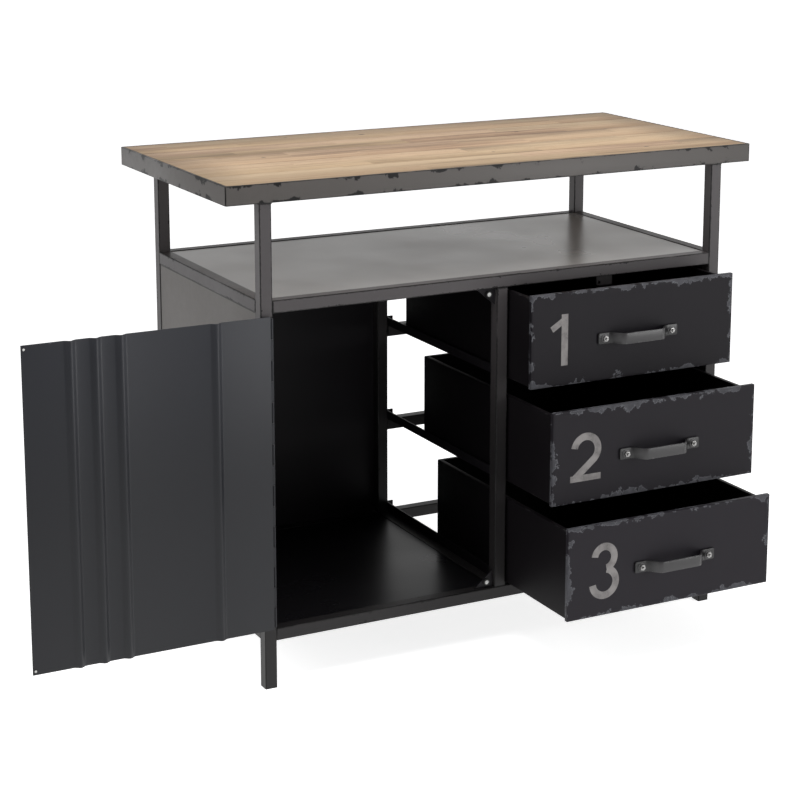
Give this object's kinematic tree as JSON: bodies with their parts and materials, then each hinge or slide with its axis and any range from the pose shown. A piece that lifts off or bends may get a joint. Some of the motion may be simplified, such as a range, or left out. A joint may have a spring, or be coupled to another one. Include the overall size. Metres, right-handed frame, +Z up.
{
  "type": "sideboard buffet",
  "caption": "Industrial sideboard with a plank top in a steel rim, an open shelf, a hinged sheet-metal door and a column of sliding drawers on a square-tube frame.",
  "frame": {"origin": "on the floor, under the middle of the whole object's bounding box with the door open and the drawers part open", "axes": "+X along the length, from the door bay to the drawer bay; +Y from front to back; +Z up"},
  "size_m": [1.2678, 0.6596, 0.8],
  "materials": {
    "wood": "oiled reclaimed wood boards with fine grain, streaks and small knots",
    "frame_steel": "worn gunmetal grey paint, chipped darker along the edges",
    "shelf_steel": "semi-gloss gunmetal grey sheet",
    "panel_steel": "matt grey-brown painted sheet",
    "dark_steel": "charcoal painted sheet",
    "drawer_front": "charcoal paint chipped to grey round the edges, with a worn light grey numeral",
    "door_steel": "dark blue-grey painted pressed sheet",
    "handle_steel": "semi-gloss dark steel",
    "bright_steel": "bright plated steel"
  },
  "bodies": {
    "carcass": {"back_panel": "dark_steel", "drawer_stop_plate": "frame_steel", "floor_sheet": "dark_steel", "gusset_lower": "frame_steel", "gusset_upper": "frame_steel", "hinge_pin": "bright_steel", "hinge_post_leaf": "handle_steel", "magnet_lower": "bright_steel", "magnet_upper": "bright_steel", "post_back_left": "frame_steel", "post_back_middle": "frame_steel", "post_back_right": "frame_steel", "post_front_left": "frame_steel", "post_front_middle": "frame_steel", "post_front_right": "frame_steel", "rail_back_1": "frame_steel", "rail_back_2": "frame_steel", "rail_lower_back": "frame_steel", "rail_lower_front": "frame_steel", "rail_lower_left": "frame_steel", "rail_lower_middle": "frame_steel", "rail_lower_right": "frame_steel", "rail_upper_back": "frame_steel", "rail_upper_front": "frame_steel", "rail_upper_left": "frame_steel", "rail_upper_middle": "frame_steel", "rail_upper_right": "frame_steel", "rim_back": "frame_steel", "rim_front": "frame_steel", "rim_left": "frame_steel", "rim_right": "frame_steel", "runner_1_left": "frame_steel", "runner_1_right": "frame_steel", "runner_2_left": "frame_steel", "runner_2_right": "frame_steel", "runner_3_left": "frame_steel", "runner_3_right": "frame_steel", "shelf_sheet": "shelf_steel", "side_panel_left": "panel_steel", "side_panel_right": "panel_steel", "top_board_1": "wood", "top_board_2": "wood", "top_board_3": "wood", "top_board_4": "wood", "top_board_5": "wood", "top_crossbar_1": "frame_steel", "top_crossbar_2": "frame_steel"},
    "door": {"door_handle": "handle_steel", "door_panel": "door_steel", "hinge_door_leaf": "handle_steel"},
    "drawer_1": {"drawer_1_box": "dark_steel", "drawer_1_front": "drawer_front", "drawer_1_handle": "handle_steel"},
    "drawer_2": {"drawer_2_box": "dark_steel", "drawer_2_front": "drawer_front", "drawer_2_handle": "handle_steel"},
    "drawer_3": {"drawer_3_box": "dark_steel", "drawer_3_front": "drawer_front", "drawer_3_handle": "handle_steel"}
  },
  "joints": [
    {"name": "door_swing", "type": "hinge", "parent": "carcass", "child": "door", "pos_m": [-0.24375, -0.11995, 0.0985], "axis": [0, 0, 1], "range_deg": [-8, 180]},
    {"name": "drawer_1_slide", "type": "slide", "parent": "carcass", "child": "drawer_1", "axis": [0, -1, 0], "range_m": [-0.0711, 0.2689]},
    {"name": "drawer_2_slide", "type": "slide", "parent": "carcass", "child": "drawer_2", "axis": [0, -1, 0], "range_m": [-0.1399, 0.2001]},
    {"name": "drawer_3_slide", "type": "slide", "parent": "carcass", "child": "drawer_3", "axis": [0, -1, 0], "range_m": [-0.1902, 0.1498]}
  ]
}
